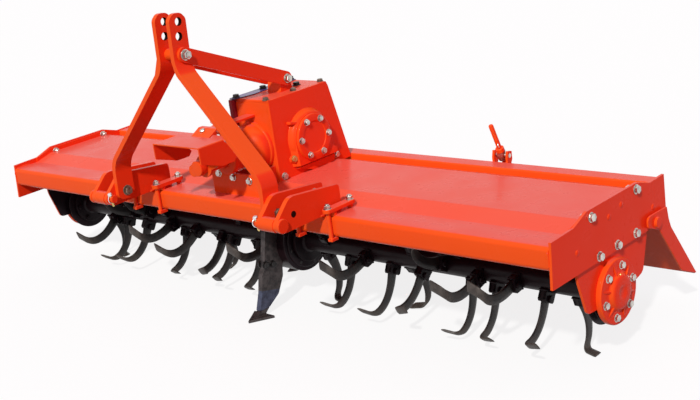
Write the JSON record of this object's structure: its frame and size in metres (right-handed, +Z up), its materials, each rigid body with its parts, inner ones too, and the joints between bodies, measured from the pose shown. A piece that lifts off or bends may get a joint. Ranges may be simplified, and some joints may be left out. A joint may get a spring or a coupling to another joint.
{
  "type": "rotary tiller",
  "caption": "Three-point mounted rotary tiller with a middle gear drive, a bent-bladed rotor, a hinged rear board and a hitch mast.",
  "frame": {"origin": "on the ground under the middle of the machine's bounding box", "axes": "+X to the machine's right, +Y to the rear, +Z up"},
  "size_m": [2.538, 0.93, 1.0678],
  "materials": {
    "orange_paint": "glossy enamel",
    "black_paint": "satin black enamel",
    "tine_steel": "black forged steel",
    "zinc": "zinc plated"
  },
  "bodies": {
    "frame": {"side_plate_left": "orange_paint", "side_plate_right": "orange_paint", "hood_left": "orange_paint", "hood_right": "orange_paint", "bearing_plate_left": "black_paint", "bearing_plate_right": "orange_paint", "bearing_housing_left": "orange_paint", "bearing_housing_right": "orange_paint", "gearbox_cover_left": "black_paint", "gearbox_cover_right": "orange_paint", "hitch_bracket_left": "orange_paint", "hitch_bracket_right": "orange_paint", "hitch_pin_left": "orange_paint", "hitch_pin_right": "orange_paint", "mast_strap_left": "orange_paint", "mast_strap_right": "orange_paint", "stay_left": "orange_paint", "stay_right": "orange_paint", "clamp_near_left": "orange_paint", "clamp_near_right": "orange_paint", "clamp_far_left": "orange_paint", "clamp_far_right": "orange_paint", "rod_bracket_left": "orange_paint", "rod_bracket_right": "orange_paint", "front_beam": "orange_paint", "rear_beam": "orange_paint", "gearbox": "orange_paint", "gearbox_side_plate": "black_paint", "gearbox_lid": "orange_paint", "gearbox_foot": "orange_paint", "input_housing": "orange_paint", "lower_case": "black_paint", "input_guard": "orange_paint", "guard_arm": "orange_paint", "mast_spacer": "orange_paint", "stay_lug": "orange_paint", "share_shank": "tine_steel", "share_point": "tine_steel"},
    "rotor": {"reel_left": "tine_steel", "reel_right": "tine_steel", "centre_shaft": "black_paint", "end_shaft_left": "black_paint", "end_shaft_right": "black_paint"},
    "rear_board": {"rear_board": "orange_paint", "board_end_left": "orange_paint", "board_end_right": "orange_paint", "rod_lug_left": "orange_paint", "rod_lug_right": "orange_paint"},
    "input_shaft": {"input_shaft": "orange_paint"},
    "swivel_left": {"rod_swivel_left": "zinc"},
    "rod_left": {"rod_left": "orange_paint"},
    "swivel_right": {"rod_swivel_right": "zinc"},
    "rod_right": {"rod_right": "orange_paint"}
  },
  "joints": [
    {"name": "rotor_spin", "type": "hinge", "parent": "frame", "child": "rotor", "pos_m": [0, 0.027, 0.21179], "axis": [1, 0, 0], "continuous": true},
    {"name": "input_spin", "type": "hinge", "parent": "frame", "child": "input_shaft", "pos_m": [0, -0.165, 0.57079], "axis": [0, -1, 0], "continuous": true},
    {"name": "board_swing", "type": "hinge", "parent": "frame", "child": "rear_board", "pos_m": [0, 0.25, 0.33979], "axis": [1, 0, 0], "range_deg": [0, 30]},
    {"name": "swivel_tilt_left", "type": "hinge", "parent": "frame", "child": "swivel_left", "pos_m": [-0.68, 0.327, 0.47379], "axis": [1, 0, 0], "range_deg": [0, 16.5]},
    {"name": "rod_slide_left", "type": "slide", "parent": "swivel_left", "child": "rod_left", "axis": [0, -0.3685, 0.9296], "range_m": [0, 0.0705]},
    {"name": "swivel_tilt_right", "type": "hinge", "parent": "frame", "child": "swivel_right", "pos_m": [0.68, 0.327, 0.47379], "axis": [1, 0, 0], "range_deg": [0, 16.5]},
    {"name": "rod_slide_right", "type": "slide", "parent": "swivel_right", "child": "rod_right", "axis": [0, -0.3685, 0.9296], "range_m": [0, 0.0705]}
  ],
  "couplings": [
    {"joint": "input_spin", "follows": "rotor_spin", "ratio": 2.35},
    {"joint": "swivel_tilt_left", "follows": "board_swing", "ratio": 0.5334},
    {"joint": "rod_slide_left", "follows": "board_swing", "m_per_rad": 0.13265},
    {"joint": "swivel_tilt_right", "follows": "board_swing", "ratio": 0.5334},
    {"joint": "rod_slide_right", "follows": "board_swing", "m_per_rad": 0.13265}
  ]
}
